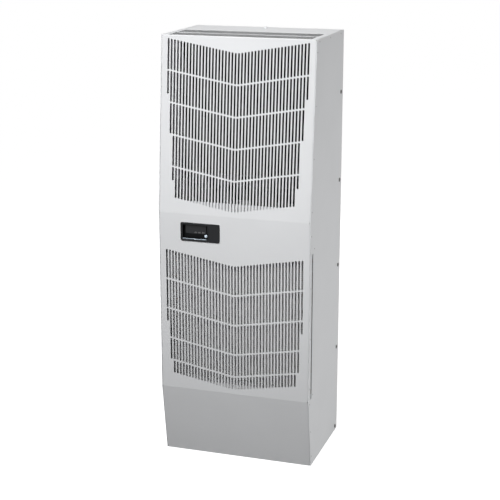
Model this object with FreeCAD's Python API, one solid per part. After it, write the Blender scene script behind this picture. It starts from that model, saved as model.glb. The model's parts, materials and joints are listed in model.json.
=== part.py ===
import FreeCAD, Part
import math
import os

from FreeCAD import Vector

# Enclosure air conditioner for a cabinet wall.
# Millimetres; x to the right, y to the rear, z up; origin under the middle of the whole unit.

# Cabinet envelope
WIDTH = 480.0
HEIGHT = 1320.0
CASE_DEPTH = 357.0
FOLD_LOW = 224.0
FOLD_HIGH = 788.0
TOP_SETBACK = 45.5
KICK_SETBACK = 35.0
SHEET = 1.5
BEND_R = 2.5
RETURN_DEPTH = 16.0
FOLD_RELIEF = 3.0
SLIGHT_RELIEF = 2.0
GASKET_T = 5.0
BEZEL_PROUD = 3.0

HALF_W = WIDTH / 2
INNER_W = HALF_W - SHEET
WEB_HALF = INNER_W - BEND_R
REAR_Y = (CASE_DEPTH + BEZEL_PROUD - GASKET_T) / 2
PAN_IN = REAR_Y - SHEET
FRONT_Y = REAR_Y - CASE_DEPTH
TOP_Y = FRONT_Y + TOP_SETBACK
KICK_Y = FRONT_Y + KICK_SETBACK

# Slotted grilles; distances run down each panel from its upper edge at mid width
SLOT_PITCH = 10.06
SLOT_W = 5.6
SLOT_R = 1.2
COLUMNS = 44
BAR = 5.0
V_SLOPE = 0.1735
UPPER_LINES = (45.6, 141.0, 235.9, 330.9, 426.2, 522.0)
UPPER_STOPS = {0: 173.0, 1: 292.8, 2: 434.0}
LOWER_LINES = (150.4, 246.4, 341.3, 436.2, 508.6, 553.0)
LOWER_STOPS = {0: 345.8, 1: 471.0}
TOP_ROWS = ((150.0, 226.0), (234.0, 305.0))
TOP_SLOT_W = 7.2

# Side screws, weld dimples and the stud on the top
SCREW_Z0 = 15.0
SCREW_PITCH = 279.0
SCREW_INSET = 24.0
DIMPLE_R = 4.0
DIMPLE_DEPTH = 1.2
DIMPLE_SET = 14.0
STUD_R = 3.5
STUD_H = 6.0
STUD_INSET = 40.0

# Filter that slides out of the right side
FILTER_Y = FRONT_Y + 26.5
FILTER_T = 12.0
FILTER_X0 = -226.0
FILTER_X1 = 236.0
FILTER_Z0 = 227.7
FILTER_Z1 = 687.7
FILTER_BORDER = 16.0
MESH_T = 8.0
SLIT_W = 15.0
RAIL_GAP = 14.0
RAIL_T = 1.2

# Rear pan openings, mounting inserts, gland
INLET_Z = 1120.0
INLET_R = 80.0
OUTLET_HALF = 190.0
OUTLET_Z0 = 268.0
OUTLET_Z1 = 562.0
INSERT_X = 208.0
INSERT_Z0 = 100.0
INSERT_PITCH = 280.0
INSERT_BORE = 3.0
GLAND_X = -150.0
GLAND_Z = 34.0
GLAND_BORE = 6.5
FLANGE_DEPTH = 38.0

# Evaporator housing: the wall between room air and cabinet air
WALL_Y = REAR_Y - 156.0
HOUSING_HALF = 230.0
HOUSING_Z0 = 60.0
HOUSING_Z1 = 1285.0
FOAM_T = 6.0

# Fin and tube coils
TUBE_R = 4.75
TUBE_PITCH = 25.4
FIN_PITCH = 8.0
FIN_T = 0.6
COND_HALF = 205.0
COND_Y = (FRONT_Y + 42.0, FRONT_Y + 80.0)
COND_ROWS = (FRONT_Y + 72.0, FRONT_Y + 50.0)
COND_Z = (252.0, 670.0)
COND_TOP_RUN = 650.5
COND_RUNS = 16
EVAP_HALF = 195.0
EVAP_Y = (REAR_Y - 76.0, REAR_Y - 26.0)
EVAP_ROWS = (REAR_Y - 64.0, REAR_Y - 40.0)
EVAP_Z = (255.0, 560.0)
EVAP_TOP_RUN = 547.4
EVAP_RUNS = 12
TUBE_REACH = 5.5

# Shelf, deck and drain
SHELF_Z = 250.0
DECK_Z = 790.0
DECK_LIP_Z = 827.0
DRAIN_X = 185.0
DRAIN_Y = 128.0
DRAIN_BORE = 6.5
DRAIN_SOCKET = 40.0
PAN_Z = 205.0

# Fans
SHAFT_R = 6.0
SHAFT_FIT = 0.06
FAN_X = 108.0
FAN_Y = -78.0
FAN_R = 80.0
FAN_EYE = 54.0
FAN_H = 60.0
FAN_Z = 808.0
POST_OFFSET = 62.0
EVAP_FAN_R = 112.0
EVAP_FAN_EYE = 84.0
EVAP_FAN_H = 70.0
EVAP_FAN_Y = REAR_Y - 29.5

# Compressor and its neighbours
COMP_X = -70.0
COMP_Y = -62.0
COMP_R = 60.0
FOOT_Z = 18.0
FOOT_T = 3.0
FOOT_REACH = 60.0
COMP_TOP = 212.0
STUB_TOP = 218.0
ACC_X = 20.0
ACC_R = 24.0
DRIER_X = 150.0
DRIER_Y = -40.0

# Controller in the middle panel
BEZEL_X0 = -169.5
BEZEL_X1 = -43.5
BEZEL_Z0 = FOLD_HIGH - 83.5
BEZEL_Z1 = FOLD_HIGH - 26.0
BODY_X0 = -164.5
BODY_X1 = -48.5
BODY_Z0 = 708.5
BODY_Z1 = 758.0
POCKET_X0 = -162.5
POCKET_X1 = -82.5
POCKET_Z0 = 711.0
POCKET_Z1 = 755.5
POCKET_DEPTH = 11.0
KEY_XS = (-124.5, -112.5, -100.5)
KEY_Z = 730.0
KEY_W = 9.0
KEY_H = 4.5
BUTTON_X = -89.0
BUTTON_Z = 721.5
BUTTON_R = 5.2
WELL_GAP = 0.35

# Electrical box
EBOX_X = (40.0, 222.0)
EBOX_Y = (FRONT_Y + 9.0, FRONT_Y + 54.5)
EBOX_Z = (700.0, DECK_Z)
EBOX_T = 1.2

X_AXIS = Vector(1, 0, 0)
Y_AXIS = Vector(0, 1, 0)
Z_AXIS = Vector(0, 0, 1)


def box(xs, ys, zs):
    """Block between two values on each axis."""
    size = (xs[1] - xs[0], ys[1] - ys[0], zs[1] - zs[0])
    return Part.makeBox(size[0], size[1], size[2], Vector(xs[0], ys[0], zs[0]))


def cyl(radius, length, base, axis=Z_AXIS):
    """Round bar from a base point along an axis."""
    return Part.makeCylinder(radius, length, Vector(*base), axis)


def pipe(outer, inner, length, base, axis=Z_AXIS):
    """Round tube with a straight bore."""
    return cyl(outer, length, base, axis).cut(cyl(inner, length, base, axis))


def hex_prism(radius, length, base, axis=Z_AXIS):
    """Six-sided bar with its corners on the given radius."""
    points = []
    for i in range(7):
        angle = math.radians(60 * i)
        points.append(Vector(radius * math.cos(angle), radius * math.sin(angle), 0))
    shape = Part.Face(Part.makePolygon(points)).extrude(Vector(0, 0, length))
    turn = FreeCAD.Rotation(Z_AXIS, axis)
    shape.Placement = FreeCAD.Placement(Vector(*base), turn)
    return shape


def line(start, end):
    """Straight edge between two points."""
    return Part.makeLine(start, end)


def arc(start, middle, end):
    """Round edge through three points."""
    return Part.Arc(start, middle, end).toShape()


def join(shapes):
    """One solid from shapes that touch or cross."""
    return shapes[0].fuse(shapes[1:]).removeSplitter()


def edges_at(shape, test):
    """Edges whose centre passes a test."""
    return [edge for edge in shape.Edges if test(edge.CenterOfMass)]


def bent_tube(points, radius, bend):
    """Round bar along a route of straight runs joined by bends of one radius."""
    route = [Vector(*point) for point in points]
    edges = []
    start = route[0]
    for before, corner, after in zip(route, route[1:], route[2:]):
        back = (before - corner).normalize()
        ahead = (after - corner).normalize()
        half = back.getAngle(ahead) / 2
        cut = bend / math.tan(half)
        middle = (back + ahead).normalize() * (bend / math.sin(half) - bend)
        edges.append(line(start, corner + back * cut))
        edges.append(arc(corner + back * cut, corner + middle, corner + ahead * cut))
        start = corner + ahead * cut
    edges.append(line(start, route[-1]))
    ring = Part.Wire(Part.makeCircle(radius, route[0], route[1] - route[0]))
    return Part.Wire(edges).makePipeShell([ring], True, False)


class Facet:
    """One flat panel of the folded front sheet, measured on its outer face."""

    def __init__(self, top, bottom):
        self.top = Vector(0, top[0], top[1])
        run = Vector(0, bottom[0], bottom[1]) - self.top
        self.length = run.Length
        self.down = run.normalize()
        self.inward = Vector(0, -self.down.z, self.down.y)

    def point(self, u, v, n=0.0):
        """Point u across, v down and n into the sheet."""
        return self.top + Vector(u, 0, 0) + self.down * v + self.inward * n

    def slot(self, u, v0, v1, width=SLOT_W):
        """Outline of one slot with rounded corners."""
        h = width / 2
        r = SLOT_R
        k = r * (1 - math.sqrt(0.5))
        a, b = u - h, u + h
        edges = [
            line(self.point(a + r, v0), self.point(b - r, v0)),
            arc(self.point(b - r, v0), self.point(b - k, v0 + k), self.point(b, v0 + r)),
            line(self.point(b, v0 + r), self.point(b, v1 - r)),
            arc(self.point(b, v1 - r), self.point(b - k, v1 - k), self.point(b - r, v1)),
            line(self.point(b - r, v1), self.point(a + r, v1)),
            arc(self.point(a + r, v1), self.point(a + k, v1 - k), self.point(a, v1 - r)),
            line(self.point(a, v1 - r), self.point(a, v0 + r)),
            arc(self.point(a, v0 + r), self.point(a + k, v0 + k), self.point(a + r, v0)),
        ]
        return Part.Wire(edges)

    def rectangle(self, u0, u1, v0, v1):
        """Outline of a plain rectangle."""
        corners = [(u0, v0), (u1, v0), (u1, v1), (u0, v1), (u0, v0)]
        return Part.makePolygon([self.point(u, v) for u, v in corners])

    def plate(self, holes):
        """The panel as a flat plate with its holes."""
        outline = self.rectangle(-WEB_HALF, WEB_HALF, 0.0, self.length)
        face = Part.makeFace([outline] + holes, "Part::FaceMakerBullseye")
        return face.extrude(self.inward * SHEET)

    def side_return(self, sign, v0, v1):
        """Bend and return flange along one side of the panel."""
        r = BEND_R - SHEET
        s = math.sqrt(0.5)

        def at(x, n):
            return self.point(sign * x, v0, n)

        edges = [
            arc(at(WEB_HALF, 0), at(WEB_HALF + BEND_R * s, BEND_R * (1 - s)), at(INNER_W, BEND_R)),
            line(at(INNER_W, BEND_R), at(INNER_W, RETURN_DEPTH)),
            line(at(INNER_W, RETURN_DEPTH), at(INNER_W - SHEET, RETURN_DEPTH)),
            line(at(INNER_W - SHEET, RETURN_DEPTH), at(INNER_W - SHEET, BEND_R)),
            arc(at(INNER_W - SHEET, BEND_R), at(WEB_HALF + r * s, BEND_R - r * s), at(WEB_HALF, SHEET)),
            line(at(WEB_HALF, SHEET), at(WEB_HALF, 0)),
        ]
        return Part.Face(Part.Wire(edges)).extrude(self.down * (v1 - v0))


TOP_FACET = Facet((REAR_Y, HEIGHT), (TOP_Y, HEIGHT))
UPPER_FACET = Facet((TOP_Y, HEIGHT), (FRONT_Y, FOLD_HIGH))
MIDDLE_FACET = Facet((FRONT_Y, FOLD_HIGH), (FRONT_Y, FOLD_LOW))
KICK_FACET = Facet((FRONT_Y, FOLD_LOW), (KICK_Y, 0.0))


def grille(facet, lines, stops):
    """Slots in columns between chevron bars; the outer columns stop early."""
    wires = []
    for i in range(COLUMNS):
        u = (i - (COLUMNS - 1) / 2) * SLOT_PITCH
        reach = stops.get(min(i, COLUMNS - 1 - i), facet.length)
        rise = V_SLOPE * abs(u)
        for above, below in zip(lines, lines[1:]):
            v0 = above - rise + BAR / 2
            v1 = min(below - rise - BAR / 2, reach)
            if v1 - v0 > SLOT_W:
                wires.append(facet.slot(u, v0, v1))
    return wires


def top_slots():
    """Two rows of slots in the front half of the top."""
    wires = []
    for i in range(COLUMNS):
        u = (i - (COLUMNS - 1) / 2) * SLOT_PITCH
        for v0, v1 in TOP_ROWS:
            wires.append(TOP_FACET.slot(u, v0, v1, TOP_SLOT_W))
    return wires


def top_stud():
    """Short round-topped stud near the rear of the top."""
    stud = cyl(STUD_R, STUD_H + SHEET, (0, REAR_Y - STUD_INSET, HEIGHT - SHEET))
    return stud.makeFillet(1.6, edges_at(stud, lambda c: c.z > HEIGHT + STUD_H - 0.1))


def front_panel():
    """Folded sheet: top, sloping upper panel, upright middle panel and kick panel."""
    gap = 0.5
    v0 = FOLD_HIGH - BODY_Z1 - gap
    v1 = FOLD_HIGH - BODY_Z0 + gap
    cutout = MIDDLE_FACET.rectangle(BODY_X0 - gap, BODY_X1 + gap, v0, v1)
    plates = [
        TOP_FACET.plate(top_slots()),
        UPPER_FACET.plate(grille(UPPER_FACET, UPPER_LINES, UPPER_STOPS)),
        MIDDLE_FACET.plate(grille(MIDDLE_FACET, LOWER_LINES, LOWER_STOPS) + [cutout]),
        KICK_FACET.plate([]),
    ]
    sheet = join(plates)
    bend = edges_at(sheet, lambda c: abs(c.y - TOP_Y) < 0.01 and abs(c.z - HEIGHT) < 0.01)
    sheet = sheet.makeFillet(BEND_R, bend)
    runs = [
        (TOP_FACET, FLANGE_DEPTH + 6.0, TOP_FACET.length - FOLD_RELIEF),
        (UPPER_FACET, FOLD_RELIEF, UPPER_FACET.length - SLIGHT_RELIEF),
        (MIDDLE_FACET, SLIGHT_RELIEF, MIDDLE_FACET.length - SLIGHT_RELIEF),
        (KICK_FACET, SLIGHT_RELIEF, KICK_FACET.length - 4.0),
    ]
    returns = []
    for facet, start, end in runs:
        for sign in (-1, 1):
            returns.append(facet.side_return(sign, start, end))
    return join([sheet, top_stud()] + returns)


def dimple_places():
    """Weld marks on a side sheet as (y, z)."""
    places = [(REAR_Y - 34.0, HEIGHT - 9.0), (REAR_Y - 160.0, HEIGHT - 9.0), (REAR_Y - 280.0, HEIGHT - 9.0)]
    marks = [
        (UPPER_FACET, (37.0, 191.0, 346.0, 503.0)),
        (MIDDLE_FACET, (43.0, 205.0, 364.0, 524.0)),
        (KICK_FACET, (14.0, 112.0, 200.0)),
    ]
    for facet, rows in marks:
        for v in rows:
            spot = facet.point(0.0, v, DIMPLE_SET)
            places.append((spot.y, spot.z))
    for rail_z in (FILTER_Z0 + 6.0, FILTER_Z1 + 12.0):
        places.append((FILTER_Y + 22.0, rail_z))
    return places


def screw_heights():
    """Heights of the five screws along a side."""
    return [SCREW_Z0 + i * SCREW_PITCH for i in range(5)]


def side_panel(sign):
    """Flat side sheet with the faceted outline; the right one has the filter slit."""
    outline = [
        (REAR_Y, 0.0), (REAR_Y, HEIGHT), (TOP_Y, HEIGHT), (FRONT_Y, FOLD_HIGH),
        (FRONT_Y, FOLD_LOW), (KICK_Y, 0.0), (REAR_Y, 0.0),
    ]
    face = Part.Face(Part.makePolygon([Vector(sign * INNER_W, y, z) for y, z in outline]))
    sheet = face.extrude(Vector(sign * SHEET, 0, 0))
    tools = []
    for z in screw_heights():
        tools.append(cyl(2.8, 4.0, (sign * (INNER_W - 1), REAR_Y - SCREW_INSET, z), X_AXIS * sign))
    for y, z in dimple_places():
        centre = Vector(sign * (HALF_W + DIMPLE_R - DIMPLE_DEPTH), y, z)
        tools.append(Part.makeSphere(DIMPLE_R, centre))
    if sign > 0:
        ys = (FILTER_Y - SLIT_W / 2, FILTER_Y + SLIT_W / 2)
        slit = box((INNER_W - 1, HALF_W + 1), ys, (FILTER_Z0 - 0.5, FILTER_Z1 + 0.5))
        corners = [edge for edge in slit.Edges if abs(edge.tangentAt(edge.FirstParameter).x) > 0.9]
        tools.append(slit.makeFillet(1.5, corners))
    return sheet.cut(Part.makeCompound(tools))


def shroud_screws():
    """Five low round-headed screws a side, each with a six-sided socket."""
    screws = []
    for sign in (-1, 1):
        for z in screw_heights():
            y = REAR_Y - SCREW_INSET
            head = cyl(6.0, 2.5, (sign * HALF_W, y, z), X_AXIS * sign)
            rim = edges_at(head, lambda c: abs(c.x) > HALF_W + 2)
            head = head.makeFillet(1.4, rim)
            socket = hex_prism(2.3, 2.0, (sign * (HALF_W + 1.2), y, z), X_AXIS * sign)
            shank = cyl(2.5, 6.5, (sign * (HALF_W - 6.5), y, z), X_AXIS * sign)
            screws.append(join([head, shank]).cut(socket))
    return screws


def insert_places():
    """Mounting insert centres as (x, z)."""
    places = []
    for i in range(5):
        for sign in (-1, 1):
            places.append((sign * INSERT_X, INSERT_Z0 + i * INSERT_PITCH))
    return places


def rounded_window(half, z0, z1, radius):
    """Cutter for a rear pan window with rounded corners."""
    block = box((-half, half), (REAR_Y - 10, REAR_Y + 10), (z0, z1))
    corners = [edge for edge in block.Edges if abs(edge.tangentAt(edge.FirstParameter).y) > 0.9]
    return block.makeFillet(radius, corners)


def rear_pan():
    """Chassis plate with side and top flanges, air openings and mounting holes."""
    top = HEIGHT - SHEET
    plate = box((-INNER_W, INNER_W), (PAN_IN, REAR_Y), (SHEET, top))
    shapes = [plate]
    for sign in (-1, 1):
        xs = sorted((sign * INNER_W, sign * (INNER_W - SHEET)))
        shapes.append(box(xs, (REAR_Y - FLANGE_DEPTH, PAN_IN), (SHEET, top)))
    shapes.append(box((-226, 226), (REAR_Y - 30, PAN_IN), (top - SHEET, top)))
    pan = join(shapes)
    tools = [
        cyl(INLET_R, 20, (0, REAR_Y - 10, INLET_Z), Y_AXIS),
        rounded_window(OUTLET_HALF, OUTLET_Z0, OUTLET_Z1, 10.0),
        cyl(10.2, 20, (GLAND_X, REAR_Y - 10, GLAND_Z), Y_AXIS),
    ]
    for x, z in insert_places():
        tools.append(cyl(5.2, 10, (x, REAR_Y - 5, z), Y_AXIS))
    for sign in (-1, 1):
        for z in screw_heights():
            tools.append(cyl(2.7, 6, (sign * (INNER_W - 4), REAR_Y - SCREW_INSET, z), X_AXIS * sign))
    return pan.cut(Part.makeCompound(tools))


def rear_gasket():
    """Foam seal around the rear face."""
    outer = box((-236, 236), (REAR_Y, REAR_Y + GASKET_T), (4, HEIGHT - 4))
    inner = box((-222, 222), (REAR_Y - 1, REAR_Y + GASKET_T + 1), (18, HEIGHT - 18))
    return outer.cut(inner)


def mounting_inserts():
    """Flanged threaded bushes in the rear pan."""
    inserts = []
    for x, z in insert_places():
        body = cyl(5.0, 15, (x, REAR_Y - 15, z), Y_AXIS)
        flange = cyl(8.0, 1.2, (x, REAR_Y, z), Y_AXIS)
        bore = cyl(INSERT_BORE, 20, (x, REAR_Y - 16, z), Y_AXIS)
        inserts.append(join([body, flange]).cut(bore))
    return inserts


def base_pan():
    """Floor of the unit with upturned sides and the drain hole."""
    floor = box((-INNER_W, INNER_W), (KICK_Y + 2.0, REAR_Y), (0, SHEET))
    sides = []
    for sign in (-1, 1):
        xs = sorted((sign * INNER_W, sign * (INNER_W - SHEET)))
        sides.append(box(xs, (KICK_Y + 26, REAR_Y - FLANGE_DEPTH - 2), (SHEET, 26)))
    pan = join([floor] + sides)
    return pan.cut(cyl(9.2, 6, (DRAIN_X, DRAIN_Y, -2)))


def evaporator_housing():
    """Open-backed box that closes on the rear pan and parts the two air streams."""
    outer = box((-HOUSING_HALF, HOUSING_HALF), (WALL_Y, PAN_IN), (HOUSING_Z0, HOUSING_Z1))
    t = SHEET
    inner_x = (t - HOUSING_HALF, HOUSING_HALF - t)
    hollow = box(inner_x, (WALL_Y + t, PAN_IN + 1), (HOUSING_Z0 + t, HOUSING_Z1 - t))
    tools = [
        hollow,
        cyl(9.2, 6, (DRAIN_X, DRAIN_Y, HOUSING_Z0 - 2)),
        cyl(8.0, 6, (216, WALL_Y - 2, EVAP_TOP_RUN), Y_AXIS),
        cyl(4.0, 6, (196, WALL_Y - 2, 582), Y_AXIS),
    ]
    return outer.cut(Part.makeCompound(tools))


def partition_insulation():
    """Foam on the room-air side of the housing: its wall above the deck and its roof."""
    xs = (-HOUSING_HALF, HOUSING_HALF)
    wall = box(xs, (WALL_Y - FOAM_T, WALL_Y), (DECK_Z + 6, HOUSING_Z1 + FOAM_T))
    roof = box(xs, (WALL_Y, PAN_IN - 1), (HOUSING_Z1, HOUSING_Z1 + FOAM_T))
    return join([wall, roof])


def blower_deck():
    """Shelf under the condenser fans with an upturned front lip."""
    t = SHEET
    deck = join([
        box((-232, 232), (FRONT_Y + 9, WALL_Y), (DECK_Z, DECK_Z + t)),
        box((-228, 228), (FRONT_Y + 9, FRONT_Y + 9 + t), (DECK_Z + t, DECK_LIP_Z)),
        box((-226, 226), (WALL_Y - t, WALL_Y), (DECK_Z - 22, DECK_Z)),
    ])
    holes = [cyl(50.0, 6, (sign * FAN_X, FAN_Y, DECK_Z - 2)) for sign in (-1, 1)]
    return deck.cut(Part.makeCompound(holes))


def filter_rails():
    """Channels above and below the filter, welded between the side sheets."""
    near = FILTER_Y - RAIL_GAP / 2
    far = FILTER_Y + RAIL_GAP / 2
    ys = (near - RAIL_T, far + RAIL_T)
    xs = (-INNER_W, INNER_W)
    low = FILTER_Z0 - 0.5
    high = FILTER_Z1 + 1.1
    bottom = join([
        box(xs, ys, (low - RAIL_T, low)),
        box(xs, (near - RAIL_T, near), (low, FILTER_Z0 + 20.3)),
        box(xs, (far, far + RAIL_T), (low, FILTER_Z0 + 12.0)),
    ])
    top = join([
        box(xs, ys, (high, high + RAIL_T)),
        box(xs, (near - RAIL_T, near), (high - 13, high)),
        box(xs, (far, far + RAIL_T), (high - 13, high)),
    ])
    return [bottom, top]


def filter_frame():
    """Edge frame of the air filter."""
    ys = (FILTER_Y - FILTER_T / 2, FILTER_Y + FILTER_T / 2)
    b = FILTER_BORDER
    outer = box((FILTER_X0, FILTER_X1), ys, (FILTER_Z0, FILTER_Z1))
    inner_x = (FILTER_X0 + b, FILTER_X1 - b)
    inner = box(inner_x, (ys[0] - 1, ys[1] + 1), (FILTER_Z0 + b, FILTER_Z1 - b))
    return outer.cut(inner)


def filter_mesh():
    """Layered wire mesh held in the frame, as one slab."""
    b = FILTER_BORDER
    ys = (FILTER_Y - MESH_T / 2, FILTER_Y + MESH_T / 2)
    return box((FILTER_X0 + b, FILTER_X1 - b), ys, (FILTER_Z0 + b, FILTER_Z1 - b))


def coil_fins(half, ys, zs):
    """Separate upright fins across a coil."""
    count = int(2 * half / FIN_PITCH)
    start = -(count - 1) / 2 * FIN_PITCH
    fins = []
    for i in range(count):
        x = start + i * FIN_PITCH
        fins.append(box((x - FIN_T / 2, x + FIN_T / 2), ys, zs))
    return fins


def coil_tube(half, rows, top_run, runs):
    """One tube that winds down the rear row, crosses over and winds up the front row."""
    reach = half + TUBE_REACH
    turn = TUBE_PITCH / 2
    edges = []
    side = 1
    z = top_run
    for row, step in ((rows[0], -1), (rows[1], 1)):
        for k in range(runs):
            edges.append(line(Vector(side * reach, row, z), Vector(-side * reach, row, z)))
            side = -side
            if k < runs - 1:
                z_next = z + step * TUBE_PITCH
                middle = Vector(side * (reach + turn), row, z + step * turn)
                edges.append(arc(Vector(side * reach, row, z), middle, Vector(side * reach, row, z_next)))
                z = z_next
        if step < 0:
            spread = (rows[1] - rows[0]) / 2
            middle = Vector(reach + abs(spread), rows[0] + spread, z)
            edges.append(arc(Vector(reach, rows[0], z), middle, Vector(reach, rows[1], z)))
    ring = Part.Wire(Part.makeCircle(TUBE_R, Vector(reach, rows[0], top_run), X_AXIS))
    return Part.Wire(edges).makePipeShell([ring], True, False)


def coil_end_plates(half, ys, zs):
    """Plates at both ends of a coil that carry the tubes."""
    plates = []
    for sign in (-1, 1):
        xs = sorted((sign * half, sign * (half + SHEET)))
        plates.append(box(xs, (ys[0] - 2, ys[1] + 2), zs))
    return plates


def coil_shelf():
    """Shelf that carries the condenser, with holes for the lines."""
    t = SHEET
    front = COND_Y[0] - 3.5
    shelf = join([
        box((-232, 232), (front, WALL_Y), (SHELF_Z - t, SHELF_Z)),
        box((-228, 228), (front, front + t), (SHELF_Z - 18, SHELF_Z - t)),
        box((-150, 150), (WALL_Y - t, WALL_Y), (SHELF_Z, SHELF_Z + 18)),
    ])
    holes = []
    for x, y, r in ((224, COMP_Y, 6.5), (224, DRIER_Y, 6.5), (216, 0, 8.0), (196, 10, 4.0), (60, -82, 6.0)):
        holes.append(cyl(r, 6, (x, y, SHELF_Z - 4)))
    return shelf.cut(Part.makeCompound(holes))


def compressor_shell():
    """Hermetic can with rounded ends, weld band and discharge stub."""
    base = FOOT_Z + FOOT_T
    can = cyl(COMP_R, COMP_TOP - base, (COMP_X, COMP_Y, base))
    can = can.makeFillet(28.0, edges_at(can, lambda c: c.z > COMP_TOP - 1))
    can = can.makeFillet(12.0, edges_at(can, lambda c: c.z < base + 1))
    band = cyl(COMP_R + 2, 8, (COMP_X, COMP_Y, 160))
    stub = cyl(8.0, STUB_TOP - 200, (COMP_X, COMP_Y, 200))
    return join([can, band, stub])


def foot_places():
    """Compressor fixing points."""
    places = []
    for dx in (-FOOT_REACH, FOOT_REACH):
        for dy in (-FOOT_REACH, FOOT_REACH):
            places.append((COMP_X + dx, COMP_Y + dy))
    return places


def compressor_feet():
    """Foot plate under the compressor."""
    half = FOOT_REACH + 14
    xs = (COMP_X - half, COMP_X + half)
    ys = (COMP_Y - half, COMP_Y + half)
    plate = box(xs, ys, (FOOT_Z, FOOT_Z + FOOT_T))
    upright = [edge for edge in plate.Edges if abs(edge.tangentAt(edge.FirstParameter).z) > 0.9]
    plate = plate.makeFillet(12.0, upright)
    holes = [cyl(4.4, 8, (x, y, FOOT_Z - 2)) for x, y in foot_places()]
    return plate.cut(Part.makeCompound(holes))


def compressor_grommets():
    """Rubber mounts between the foot plate and the floor."""
    mounts = []
    for x, y in foot_places():
        mount = pipe(11.0, 4.4, FOOT_Z - SHEET, (x, y, SHEET))
        groove = pipe(12.0, 9.0, 4.0, (x, y, 8.0))
        mounts.append(mount.cut(groove))
    return mounts


def compressor_studs():
    """Studs up from the floor with six-sided nuts on the foot plate."""
    studs = []
    for x, y in foot_places():
        stud = cyl(4.0, 32, (x, y, SHEET))
        nut = hex_prism(7.5, 6.5, (x, y, FOOT_Z + FOOT_T))
        studs.append(join([stud, nut]))
    return studs


def compressor_terminal_cover():
    """Cover over the compressor terminals, shaped to the can."""
    y0 = COMP_Y - COMP_R - 14
    cover = box((COMP_X - 25, COMP_X + 25), (y0, COMP_Y - 50), (100, 156))
    outer = edges_at(cover, lambda c: c.y < y0 + 1 and abs(c.z - 128) < 1)
    cover = cover.makeFillet(5.0, outer)
    return cover.cut(cyl(COMP_R + 0.05, 80, (COMP_X, COMP_Y, 90)))


def accumulator():
    """Suction accumulator beside the compressor, with its pipe into the can."""
    can = cyl(ACC_R, 120, (ACC_X, COMP_Y, 60))
    can = can.makeFillet(14.0, edges_at(can, lambda c: c.z > 179 or c.z < 61))
    pipe_route = [(ACC_X, COMP_Y, 66), (ACC_X, COMP_Y, 44), (COMP_X + COMP_R, COMP_Y, 44)]
    return join([can, bent_tube(pipe_route, 6.0, 12.0)])


def discharge_line():
    """Hot gas line from the compressor to the condenser."""
    reach = COND_HALF + TUBE_REACH
    row = COND_ROWS[0]
    route = [
        (COMP_X, COMP_Y, STUB_TOP), (COMP_X, COMP_Y, 235), (224, COMP_Y, 235),
        (224, COMP_Y, COND_TOP_RUN), (224, row, COND_TOP_RUN), (reach, row, COND_TOP_RUN),
    ]
    return bent_tube(route, TUBE_R, 10.0)


def liquid_line():
    """Line from the condenser down to the filter drier."""
    reach = COND_HALF + TUBE_REACH
    row = COND_ROWS[1]
    over = COND_TOP_RUN + 26
    route = [
        (reach, row, COND_TOP_RUN), (224, row, COND_TOP_RUN), (224, row, over),
        (224, DRIER_Y, over), (224, DRIER_Y, 214), (DRIER_X, DRIER_Y, 214), (DRIER_X, DRIER_Y, 185),
    ]
    return bent_tube(route, TUBE_R, 10.0)


def filter_drier():
    """Spun drier can with coned ends."""
    base = (DRIER_X, DRIER_Y)
    return join([
        cyl(14.0, 70, (base[0], base[1], 95)),
        Part.makeCone(5.0, 14.0, 20, Vector(base[0], base[1], 75)),
        Part.makeCone(14.0, 5.0, 20, Vector(base[0], base[1], 165)),
    ])


def capillary_tube():
    """Fine tube from the drier to the evaporator."""
    reach = EVAP_HALF + TUBE_REACH
    row = EVAP_ROWS[1]
    route = [
        (DRIER_X, DRIER_Y, 75), (DRIER_X, DRIER_Y, 48), (DRIER_X, 10, 48), (196, 10, 48),
        (196, 10, 582), (196, row, 582), (212, row, 582), (212, row, EVAP_TOP_RUN),
        (reach, row, EVAP_TOP_RUN),
    ]
    return bent_tube(route, 1.6, 6.0)


def suction_line():
    """Cold gas line from the evaporator to the accumulator."""
    reach = EVAP_HALF + TUBE_REACH
    row = EVAP_ROWS[0]
    route = [
        (reach, row, EVAP_TOP_RUN), (216, row, EVAP_TOP_RUN), (216, 0, EVAP_TOP_RUN), (216, 0, 205),
        (ACC_X, 0, 205), (ACC_X, COMP_Y, 205), (ACC_X, COMP_Y, 180),
    ]
    return bent_tube(route, 6.0, 12.0)


def blade(eye, radius, bottom, height):
    """One backward-curved blade of an impeller."""
    def polar(r, degrees):
        angle = math.radians(degrees)
        return Vector(r * math.cos(angle), r * math.sin(angle), bottom)

    inner = eye + 1.5
    outer = radius - 1.0
    middle = (inner + outer) / 2
    thick = math.degrees(2.0 / middle)
    front = arc(polar(inner, 0), polar(middle, -12), polar(outer, -32))
    back = arc(polar(outer, thick - 32), polar(middle, thick - 12), polar(inner, thick))
    tip = line(polar(outer, -32), polar(outer, thick - 32))
    root = line(polar(inner, thick), polar(inner, 0))
    return Part.Face(Part.Wire([front, tip, back, root])).extrude(Vector(0, 0, height))


def impeller(radius, eye, height, hub, blades):
    """Plug fan wheel on the z axis: inlet ring below, back plate above, rotor can inside."""
    ring = pipe(radius, eye, 2.0, (0, 0, 0))
    plate = cyl(radius, 2.0, (0, 0, height - 2))
    can = cyl(hub, 38, (0, 0, height - 40))
    can = can.makeFillet(7.0, edges_at(can, lambda c: c.z < height - 39))
    shapes = [ring, plate, can]
    vane = blade(eye, radius, 2.0, height - 4)
    for i in range(blades):
        copy = vane.copy()
        copy.rotate(Vector(0, 0, 0), Z_AXIS, 360.0 * i / blades)
        shapes.append(copy)
    wheel = join(shapes)
    return wheel.cut(cyl(SHAFT_R + SHAFT_FIT, 30, (0, 0, height - 28)))


def fan_motor(height, flange):
    """Fixed motor flange and shaft that the wheel turns on, same axis as the wheel."""
    shaft = cyl(SHAFT_R, 32, (0, 0, height - 25))
    plate = cyl(flange, 6.0, (0, 0, height + 6))
    collar = cyl(flange - 12, 4.0, (0, 0, height + 2))
    return join([shaft, plate, collar])


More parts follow.
